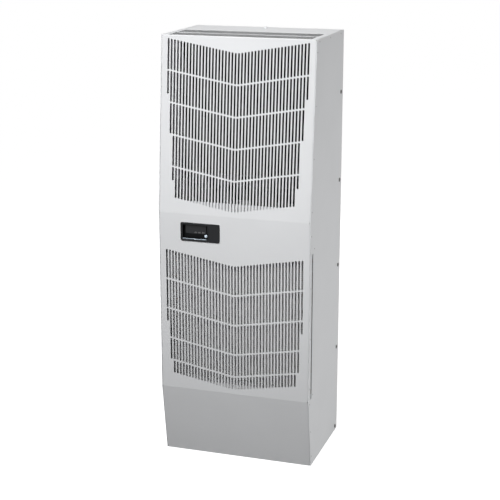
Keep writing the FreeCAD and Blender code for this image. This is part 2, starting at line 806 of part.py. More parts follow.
def upright(shape, x):
    """Set a wheel or motor on the deck."""
    copy = shape.copy()
    copy.translate(Vector(x, FAN_Y, FAN_Z))
    return copy


def facing_rear(shape):
    """Turn a wheel or motor so that its inlet faces the rear opening."""
    copy = shape.copy()
    copy.rotate(Vector(0, 0, 0), X_AXIS, 90)
    copy.translate(Vector(0, EVAP_FAN_Y, INLET_Z))
    return copy


def condenser_inlet_rings():
    """Collars that lead the air from below the deck into the wheels."""
    rings = []
    for sign in (-1, 1):
        x = sign * FAN_X
        z = DECK_Z + SHEET
        flange = pipe(62.0, 50.0, SHEET, (x, FAN_Y, z))
        throat = pipe(51.5, 50.0, 15.0, (x, FAN_Y, z))
        rings.append(join([flange, throat]))
    return rings


def fan_stand():
    """Plate on posts that carries both condenser motors."""
    z = FAN_Z + FAN_H + 12
    xs = FAN_X + POST_OFFSET + 8
    ys = (FAN_Y - POST_OFFSET - 8, FAN_Y + POST_OFFSET + 8)
    plate = box((-xs, xs), ys, (z, z + 2))
    window = box((-30, 30), (ys[0] + 20, ys[1] - 20), (z - 1, z + 3))
    shapes = [plate.cut(window)]
    for sign in (-1, 1):
        for dx in (-POST_OFFSET, POST_OFFSET):
            for dy in (-POST_OFFSET, POST_OFFSET):
                foot = (sign * FAN_X + dx, FAN_Y + dy, DECK_Z + SHEET)
                shapes.append(cyl(4.0, z - DECK_Z - SHEET, foot))
    return join(shapes)


def evaporator_motor_bracket():
    """Hat-shaped bracket from the housing wall to the motor."""
    wall = WALL_Y + SHEET
    face = EVAP_FAN_Y - EVAP_FAN_H - 12
    zs = (INLET_Z - 75, INLET_Z + 75)
    shapes = [box((-75, 75), (face - SHEET, face), zs)]
    for sign in (-1, 1):
        shapes.append(box(sorted((sign * 75, sign * (75 - SHEET))), (wall, face - SHEET), zs))
        shapes.append(box(sorted((sign * 75, sign * 97)), (wall, wall + SHEET), zs))
    return join(shapes)


def evaporator_inlet_ring():
    """Collar behind the round rear opening."""
    flange = pipe(100.0, 78.0, SHEET, (0, PAN_IN - SHEET, INLET_Z), Y_AXIS)
    throat = pipe(79.5, 78.0, 28.0, (0, PAN_IN - 28, INLET_Z), Y_AXIS)
    return join([flange, throat])


def inlet_guard():
    """Finger guard across the collar: rings carried by six spokes."""
    y = REAR_Y - 9.0
    wire = 2.4
    shapes = [cyl(16.0, wire, (0, y, INLET_Z), Y_AXIS)]
    for r in (26.0, 36.0, 46.0, 56.0, 66.0):
        shapes.append(pipe(r + wire / 2, r - wire / 2, wire, (0, y, INLET_Z), Y_AXIS))
    for i in range(6):
        spoke = box((10.0, 77.8), (y - wire, y), (INLET_Z - wire / 2, INLET_Z + wire / 2))
        spoke.rotate(Vector(0, 0, INLET_Z), Y_AXIS, 60 * i + 30)
        shapes.append(spoke)
    return join(shapes)


def outlet_guard():
    """Bar grid behind the cold-air opening, on corner spacers."""
    ys = (REAR_Y - 11.0, REAR_Y - 8.0)
    half = OUTLET_HALF + 8
    z0 = OUTLET_Z0 - 8
    z1 = OUTLET_Z1 + 8
    frame = box((-half, half), ys, (z0, z1))
    frame = frame.cut(box((12 - half, half - 12), (ys[0] - 1, ys[1] + 1), (z0 + 12, z1 - 12)))
    shapes = [frame]
    bars = 13
    pitch = (z1 - z0 - 24) / (bars + 1)
    for i in range(bars):
        z = z0 + 12 + pitch * (i + 1)
        shapes.append(box((12 - half, half - 12), (ys[0], ys[1]), (z - 1.25, z + 1.25)))
    for x in (-96.0, 0.0, 96.0):
        shapes.append(box((x - 1.25, x + 1.25), (ys[0] - 2.5, ys[0]), (z0 + 2, z1 - 2)))
    for x in (-half, half - 7):
        for z in (z0, z1 - 7):
            shapes.append(box((x, x + 7), (ys[1], PAN_IN), (z, z + 7)))
    return join(shapes)


def drain_pan():
    """Tray under the evaporator."""
    half = HOUSING_HALF - SHEET
    ys = (EVAP_Y[0] - 9, EVAP_Y[1] + 8)
    t = RAIL_T
    outer = box((-half, half), ys, (PAN_Z, PAN_Z + 32))
    hollow = box((t - half, half - t), (ys[0] + t, ys[1] - t), (PAN_Z + t, PAN_Z + 40))
    return outer.cut(hollow).cut(cyl(5.0, 8, (DRAIN_X, DRAIN_Y, PAN_Z - 3)))


def drain_tube():
    """Tube from the tray to the floor, with a wider socket at its lower end."""
    tube = cyl(8.8, PAN_Z, (DRAIN_X, DRAIN_Y, 0))
    socket = cyl(DRAIN_BORE, DRAIN_SOCKET, (DRAIN_X, DRAIN_Y, 0))
    bore = cyl(5.0, PAN_Z, (DRAIN_X, DRAIN_Y, 0))
    return tube.cut(Part.makeCompound([socket.fuse(bore)]))


def electrical_box():
    """Box open to the front, hung under the deck."""
    t = EBOX_T
    outer = box(EBOX_X, EBOX_Y, EBOX_Z)
    inner_x = (EBOX_X[0] + t, EBOX_X[1] - t)
    hollow = box(inner_x, (EBOX_Y[0] - 1, EBOX_Y[1] - t), (EBOX_Z[0] + t, EBOX_Z[1] - t))
    return outer.cut(hollow).cut(cyl(4.2, 6, (60, EBOX_Y[1] - 4, 720), Y_AXIS))


def electrical_cover():
    """Front cover of the electrical box."""
    zs = (EBOX_Z[0] - 2, EBOX_Z[1] - 1)
    plate = box((EBOX_X[0] - 2, EBOX_X[1] + 2), (EBOX_Y[0] - SHEET, EBOX_Y[0]), zs)
    rib = box((EBOX_X[0] + 40, EBOX_X[1] - 40), (EBOX_Y[0] - 3.5, EBOX_Y[0] - SHEET), (742, 748))
    return join([plate, rib])


def run_capacitors():
    """Two motor run capacitors standing in the box."""
    floor = EBOX_Z[0] + EBOX_T
    y = EBOX_Y[1] - EBOX_T - 16.2
    cans = []
    for x in (128.0, 163.0):
        can = cyl(16.0, 64, (x, y, floor))
        can = can.makeFillet(2.0, edges_at(can, lambda c: c.z > floor + 60))
        tabs = [box((x + dx - 3, x + dx + 3), (y - 0.4, y + 0.4), (floor + 64, floor + 74)) for dx in (-6, 6)]
        cans.append(join([can] + tabs))
    return cans


def contactor():
    """Compressor contactor on the back of the box."""
    back = EBOX_Y[1] - EBOX_T
    shapes = [
        box((66, 108), (back - 14, back), (714, 772)),
        box((70, 104), (back - 34, back - 14), (724, 762)),
    ]
    for z in (716.0, 764.0):
        for i in range(3):
            x = 72.0 + 12 * i
            shapes.append(box((x, x + 8), (back - 20, back - 14), (z, z + 6)))
    return join(shapes)


def terminal_block():
    """Row of screw terminals on the back of the box."""
    back = EBOX_Y[1] - EBOX_T
    block = box((184, 214), (back - 18, back), (710, 780))
    tools = []
    for i in range(5):
        z = 718 + 13.5 * i
        tools.append(box((183, 192), (back - 19, back - 10), (z - 4.5, z + 4.5)))
        tools.append(box((206, 215), (back - 19, back - 10), (z - 4.5, z + 4.5)))
    return block.cut(Part.makeCompound(tools))


def compressor_harness():
    """Sleeved wires from the electrical box to the compressor terminals."""
    y = COMP_Y - COMP_R - 7
    route = [
        (60, EBOX_Y[1], 720), (60, -82, 720), (60, -82, 212), (60, y, 212), (60, y, 130),
        (COMP_X + 25, y, 130),
    ]
    return bent_tube(route, 4.0, 12.0)


def cable_gland():
    """Gland for the supply cable through the rear pan."""
    body = cyl(10.0, 18, (GLAND_X, PAN_IN - 16.5, GLAND_Z), Y_AXIS)
    nut = hex_prism(14.0, 5.0, (GLAND_X, PAN_IN - 5.0, GLAND_Z), Y_AXIS)
    flange = cyl(15.0, 2.0, (GLAND_X, REAR_Y, GLAND_Z), Y_AXIS)
    dome = cyl(11.5, 2.5, (GLAND_X, REAR_Y + 2.0, GLAND_Z), Y_AXIS)
    bore = cyl(GLAND_BORE, 40, (GLAND_X, PAN_IN - 20, GLAND_Z), Y_AXIS)
    return join([body, nut, flange, dome]).cut(bore)


def air_sensor():
    """Temperature probe in its clip beside the warm-air opening."""
    clip = box((124, 136), (PAN_IN - 11, PAN_IN), (1098, 1110))
    probe = cyl(3.5, 44, (130, PAN_IN - 6, 1084))
    return join([clip, probe])


def rounded_block(xs, ys, zs, radius):
    """Block with rounded corners as seen from the front."""
    block = box(xs, ys, zs)
    corners = [edge for edge in block.Edges if abs(edge.tangentAt(edge.FirstParameter).y) > 0.9]
    return block.makeFillet(radius, corners)


def controller_bezel():
    """Black moulding with a deep pocket on the left and a shallow one on the right."""
    y0 = FRONT_Y - BEZEL_PROUD
    rim = rounded_block((BEZEL_X0, BEZEL_X1), (y0, FRONT_Y), (BEZEL_Z0, BEZEL_Z1), 5.0)
    edge = [e for e in rim.Edges if e.BoundBox.YMax < y0 + 0.01]
    rim = rim.makeFillet(1.0, edge)
    body = box((BODY_X0, BODY_X1), (FRONT_Y, FRONT_Y + POCKET_DEPTH), (BODY_Z0, BODY_Z1))
    pocket = rounded_block(
        (POCKET_X0, POCKET_X1), (y0 - 1, FRONT_Y + POCKET_DEPTH + 1), (POCKET_Z0, POCKET_Z1), 2.5)
    plain = rounded_block((-79.0, -47.5), (y0 - 1, y0 + 0.8), (709.0, 757.5), 2.0)
    back = box((-79.0, -51.5), (FRONT_Y + 2, FRONT_Y + POCKET_DEPTH + 1), (711.5, 755.0))
    bezel = join([rim, body]).cut(Part.makeCompound([pocket, plain, back]))
    inside = (POCKET_X0 - 0.1, POCKET_X1 + 0.1)
    lip = edges_at(bezel, lambda c: abs(c.y - y0) < 0.01 and inside[0] < c.x < inside[1]
                   and POCKET_Z0 - 0.1 < c.z < POCKET_Z1 + 0.1)
    return bezel.makeFillet(1.6, lip)


def control_wells(start, key_depth, button_depth):
    """Clearance openings for the keys and the button, inwards from one depth."""
    wells = [cyl(BUTTON_R + WELL_GAP, button_depth, (BUTTON_X, start, BUTTON_Z), Y_AXIS)]
    for x in KEY_XS:
        xs = (x - KEY_W / 2 - WELL_GAP, x + KEY_W / 2 + WELL_GAP)
        zs = (KEY_Z - KEY_H / 2 - WELL_GAP, KEY_Z + KEY_H / 2 + WELL_GAP)
        wells.append(box(xs, (start, start + key_depth), zs))
    return Part.makeCompound(wells)


def controller_module():
    """Controller body behind the bezel with wells for the keys and the button."""
    face = FRONT_Y + POCKET_DEPTH
    body = box((BODY_X0, POCKET_X1 + 2), (face, face + 47), (BODY_Z0, BODY_Z1))
    return body.cut(control_wells(face - 1, 7, 14))


def display_window():
    """Smoked plate over the display, open where the keys and the button pass."""
    face = FRONT_Y + POCKET_DEPTH
    plate = rounded_block((-157.0, -91.0), (face - 1.5, face), (726.0, 751.5), 1.5)
    return plate.cut(control_wells(face - 3, 4, 4))


def key(x):
    """One small key of the row."""
    face = FRONT_Y + POCKET_DEPTH
    ys = (face - 1.8, face + 3.0)
    xs = (x - KEY_W / 2, x + KEY_W / 2)
    cap = rounded_block(xs, ys, (KEY_Z - KEY_H / 2, KEY_Z + KEY_H / 2), 1.0)
    front = [e for e in cap.Edges if e.BoundBox.YMax < ys[0] + 0.01]
    return cap.makeFillet(0.5, front)


def control_button():
    """Round button with a domed front."""
    front = FRONT_Y - 1.0
    stem = cyl(BUTTON_R, POCKET_DEPTH + 9, (BUTTON_X, front, BUTTON_Z), Y_AXIS)
    return stem.makeFillet(4.2, edges_at(stem, lambda c: c.y < front + 0.1))


def write(name, shape):
    """Save one piece, or a group of like pieces, under its name."""
    if isinstance(shape, list):
        shape = Part.makeCompound(shape)
    shape.exportStep("parts/" + name + ".step")


def main():
    """Build every piece and save it."""
    os.makedirs("parts", exist_ok=True)
    wheel = impeller(FAN_R, FAN_EYE, FAN_H, 34.0, 9)
    motor = fan_motor(FAN_H, 32.0)
    cond_plates = coil_end_plates(COND_HALF, COND_Y, (SHELF_Z, COND_Z[1] + 2))
    evap_plates = coil_end_plates(EVAP_HALF, EVAP_Y, (PAN_Z + RAIL_T, EVAP_Z[1] + 2))
    pieces = {
        "front_panel": front_panel(),
        "left_side_panel": side_panel(-1),
        "right_side_panel": side_panel(1),
        "shroud_screws": shroud_screws(),
        "rear_pan": rear_pan(),
        "rear_gasket": rear_gasket(),
        "mounting_inserts": mounting_inserts(),
        "base_pan": base_pan(),
        "evaporator_housing": evaporator_housing(),
        "partition_insulation": partition_insulation(),
        "blower_deck": blower_deck(),
        "filter_rails": filter_rails(),
        "filter_frame": filter_frame(),
        "filter_mesh": filter_mesh(),
        "condenser_fins": coil_fins(COND_HALF, COND_Y, COND_Z),
        "condenser_tubes": coil_tube(COND_HALF, COND_ROWS, COND_TOP_RUN, COND_RUNS),
        "condenser_end_plates": cond_plates,
        "coil_shelf": coil_shelf(),
        "compressor_shell": compressor_shell(),
        "compressor_feet": compressor_feet(),
        "compressor_grommets": compressor_grommets(),
        "compressor_studs": compressor_studs(),
        "compressor_terminal_cover": compressor_terminal_cover(),
        "accumulator": accumulator(),
        "discharge_line": discharge_line(),
        "liquid_line": liquid_line(),
        "filter_drier": filter_drier(),
        "capillary_tube": capillary_tube(),
        "suction_line": suction_line(),
        "condenser_fan_left": upright(wheel, -FAN_X),
        "condenser_fan_right": upright(wheel, FAN_X),
        "condenser_fan_motors": [upright(motor, -FAN_X), upright(motor, FAN_X)],
        "condenser_inlet_rings": condenser_inlet_rings(),
        "fan_stand": fan_stand(),
        "evaporator_fan": facing_rear(impeller(EVAP_FAN_R, EVAP_FAN_EYE, EVAP_FAN_H, 45.0, 11)),
        "evaporator_motor": facing_rear(fan_motor(EVAP_FAN_H, 42.0)),
        "evaporator_motor_bracket": evaporator_motor_bracket(),
        "evaporator_inlet_ring": evaporator_inlet_ring(),
        "inlet_guard": inlet_guard(),
        "evaporator_fins": coil_fins(EVAP_HALF, EVAP_Y, EVAP_Z),
        "evaporator_tubes": coil_tube(EVAP_HALF, EVAP_ROWS, EVAP_TOP_RUN, EVAP_RUNS),
        "evaporator_end_plates": evap_plates,
        "drain_pan": drain_pan(),
        "drain_tube": drain_tube(),
        "outlet_guard": outlet_guard(),
        "electrical_box": electrical_box(),
        "electrical_cover": electrical_cover(),
        "run_capacitors": run_capacitors(),
        "contactor": contactor(),
        "terminal_block": terminal_block(),
        "compressor_harness": compressor_harness(),
        "cable_gland": cable_gland(),
        "air_sensor": air_sensor(),
        "controller_bezel": controller_bezel(),
        "controller_module": controller_module(),
        "display_window": display_window(),
        "key_left": key(KEY_XS[0]),
        "key_middle": key(KEY_XS[1]),
        "key_right": key(KEY_XS[2]),
        "control_button": control_button(),
    }
    for name, shape in pieces.items():
        write(name, shape)


main()
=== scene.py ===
"""Looks of the enclosure air conditioner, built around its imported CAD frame. Metres, row frame."""

import json
import logging
import math
from collections.abc import Iterator, Sequence
from dataclasses import dataclass, field
from enum import Enum
from typing import Any

import bpy
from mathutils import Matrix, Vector

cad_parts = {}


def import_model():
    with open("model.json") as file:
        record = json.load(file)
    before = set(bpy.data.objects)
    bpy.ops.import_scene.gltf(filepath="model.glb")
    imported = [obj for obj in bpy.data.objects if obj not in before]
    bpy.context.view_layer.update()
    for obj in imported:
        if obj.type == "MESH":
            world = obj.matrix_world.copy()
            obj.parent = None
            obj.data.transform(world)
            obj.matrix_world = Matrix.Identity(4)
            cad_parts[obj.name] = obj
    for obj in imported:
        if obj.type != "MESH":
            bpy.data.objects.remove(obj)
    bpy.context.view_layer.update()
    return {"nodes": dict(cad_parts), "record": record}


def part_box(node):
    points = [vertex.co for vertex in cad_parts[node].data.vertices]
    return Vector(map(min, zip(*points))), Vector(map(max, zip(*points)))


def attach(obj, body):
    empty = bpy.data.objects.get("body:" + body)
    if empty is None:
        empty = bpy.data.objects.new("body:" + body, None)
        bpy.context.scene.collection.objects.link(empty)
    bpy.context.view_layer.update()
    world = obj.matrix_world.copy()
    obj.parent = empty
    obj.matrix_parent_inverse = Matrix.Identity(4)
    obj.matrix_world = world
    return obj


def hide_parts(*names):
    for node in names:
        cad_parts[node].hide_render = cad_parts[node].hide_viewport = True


LOG = logging.getLogger("enclosure_air_conditioner")
MM = 0.001
REARWARD = Vector((0.0, 1.0, 0.0))
UPWARD = Vector((0.0, 0.0, 1.0))
MITRE_LIMIT = 0.3
PATTERN_SPAN = (0.25, 0.75)
FULL_SPAN = (0.0, 1.0)
EVEN = (1.0, 1.0, 1.0)

Colour = tuple[float, float, float]
Triple = tuple[float, float, float]
Section = list[tuple[float, float]]


class Slot(Enum):
    """Material slots of the record, by what the surface is."""

    SHELL_PAINT = "shell_paint"
    DARK_STEEL = "dark_steel"
    GALVANISED = "galvanised"
    PLATED_STEEL = "plated_steel"
    FOAM_RUBBER = "foam_rubber"
    FOAM = "foam"
    FIN_ALUMINIUM = "fin_aluminium"
    MOTOR_ALUMINIUM = "motor_aluminium"
    FILTER_ALUMINIUM = "filter_aluminium"
    FILTER_MEDIA = "filter_media"
    COPPER = "copper"
    BLACK_PAINT = "black_paint"
    RUBBER = "rubber"
    BLACK_PLASTIC = "black_plastic"
    PALE_PLASTIC = "pale_plastic"
    FAN_PLASTIC = "fan_plastic"
    BEZEL_PLASTIC = "bezel_plastic"
    WINDOW_PLASTIC = "window_plastic"
    KEY_PLASTIC = "key_plastic"
    BUTTON_PLASTIC = "button_plastic"


class Body(Enum):
    """Bodies of the frame that the new pieces ride on."""

    CABINET = "cabinet"
    FILTER = "filter"


class Shading(Enum):
    """How a new mesh is shaded."""

    FLAT = "flat"
    SMOOTH = "smooth"


class Octaves(Enum):
    """How many finer octaves a cloudy pattern has."""

    PLAIN = 2.0
    SOFT = 3.0
    RICH = 4.0
    FULL = 5.0


class NodeSheet:
    """Node tree of one material, with short calls for the patterns that the finishes share."""

    def __init__(self, name: str) -> None:
        """Start a principled material whose patterns are placed in metres.

        Args:
            name: Name of the material.
        """
        self.material = bpy.data.materials.new(name)
        self.material.use_nodes = True
        self.nodes = self.material.node_tree.nodes
        self.links = self.material.node_tree.links
        self.shader = self.nodes["Principled BSDF"]
        self.place = self.nodes.new("ShaderNodeTexCoord").outputs["Object"]

    def fix(self, **values: Any) -> None:
        """Set values that are the same all over the surface.

        Args:
            values: Shader inputs by name, with _ for a space.
        """
        for key, value in values.items():
            self.shader.inputs[key.replace("_", " ")].default_value = value

    def feed(self, name: str, output: bpy.types.NodeSocket) -> None:
        """Link an output to a shader input."""
        self.links.new(output, self.shader.inputs[name])

    def stretched(self, stretch: Triple) -> bpy.types.NodeSocket:
        """Place the pattern with its own scale along each axis.

        Args:
            stretch: Scale along x, y and z.

        Returns:
            The scaled coordinates.
        """
        node = self.nodes.new("ShaderNodeMapping")
        node.inputs["Scale"].default_value = stretch
        self.links.new(self.place, node.inputs["Vector"])
        return node.outputs["Vector"]

    def noise(self, scale: float, octaves: Octaves, stretch: Triple = EVEN) -> bpy.types.NodeSocket:
        """Cloudy pattern.

        Args:
            scale: Features to the metre.
            octaves: How much finer detail it has.
            stretch: Scale along x, y and z.

        Returns:
            A value from 0 to 1.
        """
        node = self.nodes.new("ShaderNodeTexNoise")
        node.inputs["Scale"].default_value = scale
        node.inputs["Detail"].default_value = octaves.value
        self.links.new(self.stretched(stretch), node.inputs["Vector"])
        return node.outputs["Fac"]

    def cells(self, scale: float, output: str) -> bpy.types.NodeSocket:
        """Pattern of cells.

        Args:
            scale: Cells to the metre.
            output: Distance for rounded pits, Color for a random tone in each cell.

        Returns:
            The chosen output.
        """
        node = self.nodes.new("ShaderNodeTexVoronoi")
        node.inputs["Scale"].default_value = scale
        self.links.new(self.place, node.inputs["Vector"])
        return node.outputs[output]

    def tone(self, value: bpy.types.NodeSocket, dark: Colour, light: Colour,
             span: tuple[float, float] = PATTERN_SPAN) -> bpy.types.NodeSocket:
        """Colour that runs from dark to light with a pattern.

        Args:
            value: Pattern from 0 to 1.
            dark: Colour at the start of the span.
            light: Colour at its end.
            span: Part of the pattern's range that the colours cover.

        Returns:
            The colour.
        """
        node = self.nodes.new("ShaderNodeValToRGB")
        first, last = node.color_ramp.elements
        first.position, last.position = span
        first.color = (*dark, 1.0)
        last.color = (*light, 1.0)
        self.links.new(value, node.inputs["Fac"])
        return node.outputs["Color"]

    def between(self, value: bpy.types.NodeSocket, low: float, high: float) -> bpy.types.NodeSocket:
        """Value that runs from low to high with a pattern.

        Args:
            value: Pattern from 0 to 1.
            low: Result at the start of the pattern's usual span.
            high: Result at its end.

        Returns:
            The value.
        """
        node = self.nodes.new("ShaderNodeMapRange")
        node.inputs["From Min"].default_value, node.inputs["From Max"].default_value = PATTERN_SPAN
        node.inputs["To Min"].default_value = low
        node.inputs["To Max"].default_value = high
        self.links.new(value, node.inputs["Value"])
        return node.outputs["Result"]

    def roughen(self, value: bpy.types.NodeSocket, level: float, swing: tuple[float, float]) -> None:
        """Let the roughness vary with a pattern.

        Args:
            value: Pattern from 0 to 1.
            level: Roughness of the finish.
            swing: What is added to it at the start and at the end of the pattern's usual span.
        """
        low, high = swing
        self.feed("Roughness", self.between(value, level + low, level + high))

    def behind(self, seam: float, fade: float) -> bpy.types.NodeSocket:
        """Value that is 0 in front of a seam across y and 1 behind it.

        Args:
            seam: Place of the seam along y.
            fade: Length that the step is spread over.

        Returns:
            The value.
        """
        split = self.nodes.new("ShaderNodeSeparateXYZ")
        self.links.new(self.place, split.inputs["Vector"])
        node = self.nodes.new("ShaderNodeMapRange")
        node.inputs["From Min"].default_value = seam
        node.inputs["From Max"].default_value = seam + fade
        self.links.new(split.outputs["Y"], node.inputs["Value"])
        return node.outputs["Result"]

    def relief(self, value: bpy.types.NodeSocket, depth: float, strength: float) -> None:
        """Raise the surface by a pattern.

        Args:
            value: Pattern from 0 to 1.
            depth: Height of the relief in metres.
            strength: Share of it that shows.
        """
        node = self.nodes.new("ShaderNodeBump")
        node.inputs["Distance"].default_value = depth
        node.inputs["Strength"].default_value = strength
        self.links.new(value, node.inputs["Height"])
        self.feed("Normal", node.outputs["Normal"])


def shaded(colour: Colour, factor: float) -> Colour:
    """Colour made lighter or darker.

    Args:
        colour: Linear colour.
        factor: What each channel is multiplied by.

    Returns:
        The colour, no channel above 1.
    """
    red, green, blue = (min(1.0, channel * factor) for channel in colour)
    return red, green, blue


def grey(level: float) -> tuple[float, float, float, float]:
    """Grey of one level, opaque."""
    return level, level, level, 1.0


@dataclass(frozen=True)
class Paint:
    """Baked powder coat or enamel with its orange-peel skin."""

    name: str
    colour: Colour
    roughness: float
    peel: float = 650.0
    depth: float = 0.12 * MM
    drift: float = 0.02
    cloud: float = 7.0
    swing: tuple[float, float] = (-0.04, 0.05)
    relief: float = 0.35
    gloss: float = 0.45

    def material(self) -> bpy.types.Material:
        """Make the material.

        Returns:
            The painted finish.
        """
        sheet = NodeSheet(self.name)
        cloud = sheet.noise(self.cloud, Octaves.SOFT)
        dark = shaded(self.colour, 1.0 - self.drift)
        light = shaded(self.colour, 1.0 + self.drift)
        sheet.feed("Base Color", sheet.tone(cloud, dark, light))
        skin = sheet.noise(self.peel, Octaves.PLAIN)
        sheet.roughen(skin, self.roughness, self.swing)
        sheet.relief(skin, self.depth, self.relief)
        sheet.fix(Specular_IOR_Level=self.gloss)
        return sheet.material


@dataclass(frozen=True)
class Galvanised:
    """Zinc-coated sheet with crystals of different brightness."""

    name: str
    colour: Colour
    spangle: float = 85.0
    dull: float = 0.78
    bright: float = 1.1
    roughness: tuple[float, float] = (0.34, 0.5)
    ripple: float = 180.0
    depth: float = 0.1 * MM
    relief: float = 0.2
    metallic: float = 0.85

    def material(self) -> bpy.types.Material:
        """Make the material.

        Returns:
            The zinc finish.
        """
        sheet = NodeSheet(self.name)
        crystal = sheet.cells(self.spangle, "Color")
        dark = shaded(self.colour, self.dull)
        light = shaded(self.colour, self.bright)
        sheet.feed("Base Color", sheet.tone(crystal, dark, light, FULL_SPAN))
        sheet.feed("Roughness", sheet.between(crystal, *self.roughness))
        sheet.relief(sheet.noise(self.ripple, Octaves.RICH), self.depth, self.relief)
        sheet.fix(Metallic=self.metallic)
        return sheet.material


@dataclass(frozen=True)
class BareMetal:
    """Drawn, rolled, cast or plated metal with faint streaks along one axis."""

    name: str
    colour: Colour
    roughness: float
    streak: Triple = EVEN
    grain: float = 260.0
    stain: float = 0.8
    metallic: float = 1.0
    swing: tuple[float, float] = (0.08, -0.06)
    depth: float = 0.05 * MM
    relief: float = 0.25

    def material(self) -> bpy.types.Material:
        """Make the material.

        Returns:
            The metal finish.
        """
        sheet = NodeSheet(self.name)
        haze = sheet.noise(self.grain, Octaves.FULL, self.streak)
        sheet.feed("Base Color", sheet.tone(haze, shaded(self.colour, self.stain), self.colour))
        sheet.roughen(haze, self.roughness, self.swing)
        sheet.relief(haze, self.depth, self.relief)
        sheet.fix(Metallic=self.metallic)
        return sheet.material


@dataclass(frozen=True)
class Moulding:
    """Moulded plastic with a spark-eroded grain."""

    name: str
    colour: Colour
    roughness: float
    grain: float = 1400.0
    depth: float = 0.06 * MM
    coat: float = 0.0
    drift: float = 0.12
    gloss: float = 0.5
    flow: float = 45.0
    swing: tuple[float, float] = (-0.05, 0.06)
    relief: float = 0.4
    coat_roughness: float = 0.06

    def material(self) -> bpy.types.Material:
        """Make the material.

        Returns:
            The plastic finish.
        """
        sheet = NodeSheet(self.name)
        sheet.feed("Base Color", self.tint(sheet))
        pits = sheet.noise(self.grain, Octaves.PLAIN)
        sheet.roughen(pits, self.roughness, self.swing)
        sheet.relief(pits, self.depth, self.relief)
        sheet.fix(Specular_IOR_Level=self.gloss, Coat_Weight=self.coat, Coat_Roughness=self.coat_roughness)
        return sheet.material

    def tint(self, sheet: NodeSheet) -> bpy.types.NodeSocket:
        """Colour with the faint flow marks of the mould.

        Args:
            sheet: Node tree to build in.

        Returns:
            The colour.
        """
        marks = sheet.noise(self.flow, Octaves.SOFT)
        return sheet.tone(marks, shaded(self.colour, 1.0 - self.drift), shaded(self.colour, 1.0 + self.drift))


@dataclass(frozen=True)
class CappedMoulding(Moulding):
    """Moulded plastic whose coloured cap sits on a stem painted near-black as shade."""

    # Near-black painted shade for the stem behind the seam.
    painted_stem_shade: Colour = (0.006, 0.006, 0.006)
    seam: float = -176.0 * MM
    fade: float = 0.4 * MM

    def tint(self, sheet: NodeSheet) -> bpy.types.NodeSocket:
        """Colour of the cap in front of the seam, and painted near-black shade on the stem behind it.

        Args:
            sheet: Node tree to build in.

        Returns:
            The colour.
        """
        # Behind the seam the colour is painted shade that darkens the button's stem in the pocket.
        mix = sheet.nodes.new("ShaderNodeMixRGB")
        mix.inputs["Color2"].default_value = (*self.painted_stem_shade, 1.0)
        sheet.links.new(sheet.behind(self.seam, self.fade), mix.inputs["Fac"])
        sheet.links.new(super().tint(sheet), mix.inputs["Color1"])
        return mix.outputs["Color"]


@dataclass(frozen=True)
class Foam:
    """Foam or rubber with open or closed cells, with painted shade in the pores."""

    name: str
    colour: Colour
    cell: float
    depth: float
    roughness: float = 0.92
    pore_shade: float = 0.55
    wall: float = 1.35
    pore_span: tuple[float, float] = (0.05, 0.6)
    patch: float = 60.0
    swing: tuple[float, float] = (-0.07, 0.0)
    relief: float = 0.6
    gloss: float = 0.25

    def material(self) -> bpy.types.Material:
        """Make the material.

        Returns:
            The foam finish.
        """
        sheet = NodeSheet(self.name)
        # The colour is darkest in the middle of each cell, where the relief sinks: painted shade in the
        # pores.
        pore = sheet.cells(self.cell, "Distance")
        dark = shaded(self.colour, self.pore_shade)
        light = shaded(self.colour, self.wall)
        sheet.feed("Base Color", sheet.tone(pore, dark, light, self.pore_span))
        sheet.roughen(sheet.noise(self.patch, Octaves.PLAIN), self.roughness, self.swing)
        sheet.relief(pore, self.depth, self.relief)
        sheet.fix(Specular_IOR_Level=self.gloss)
        return sheet.material


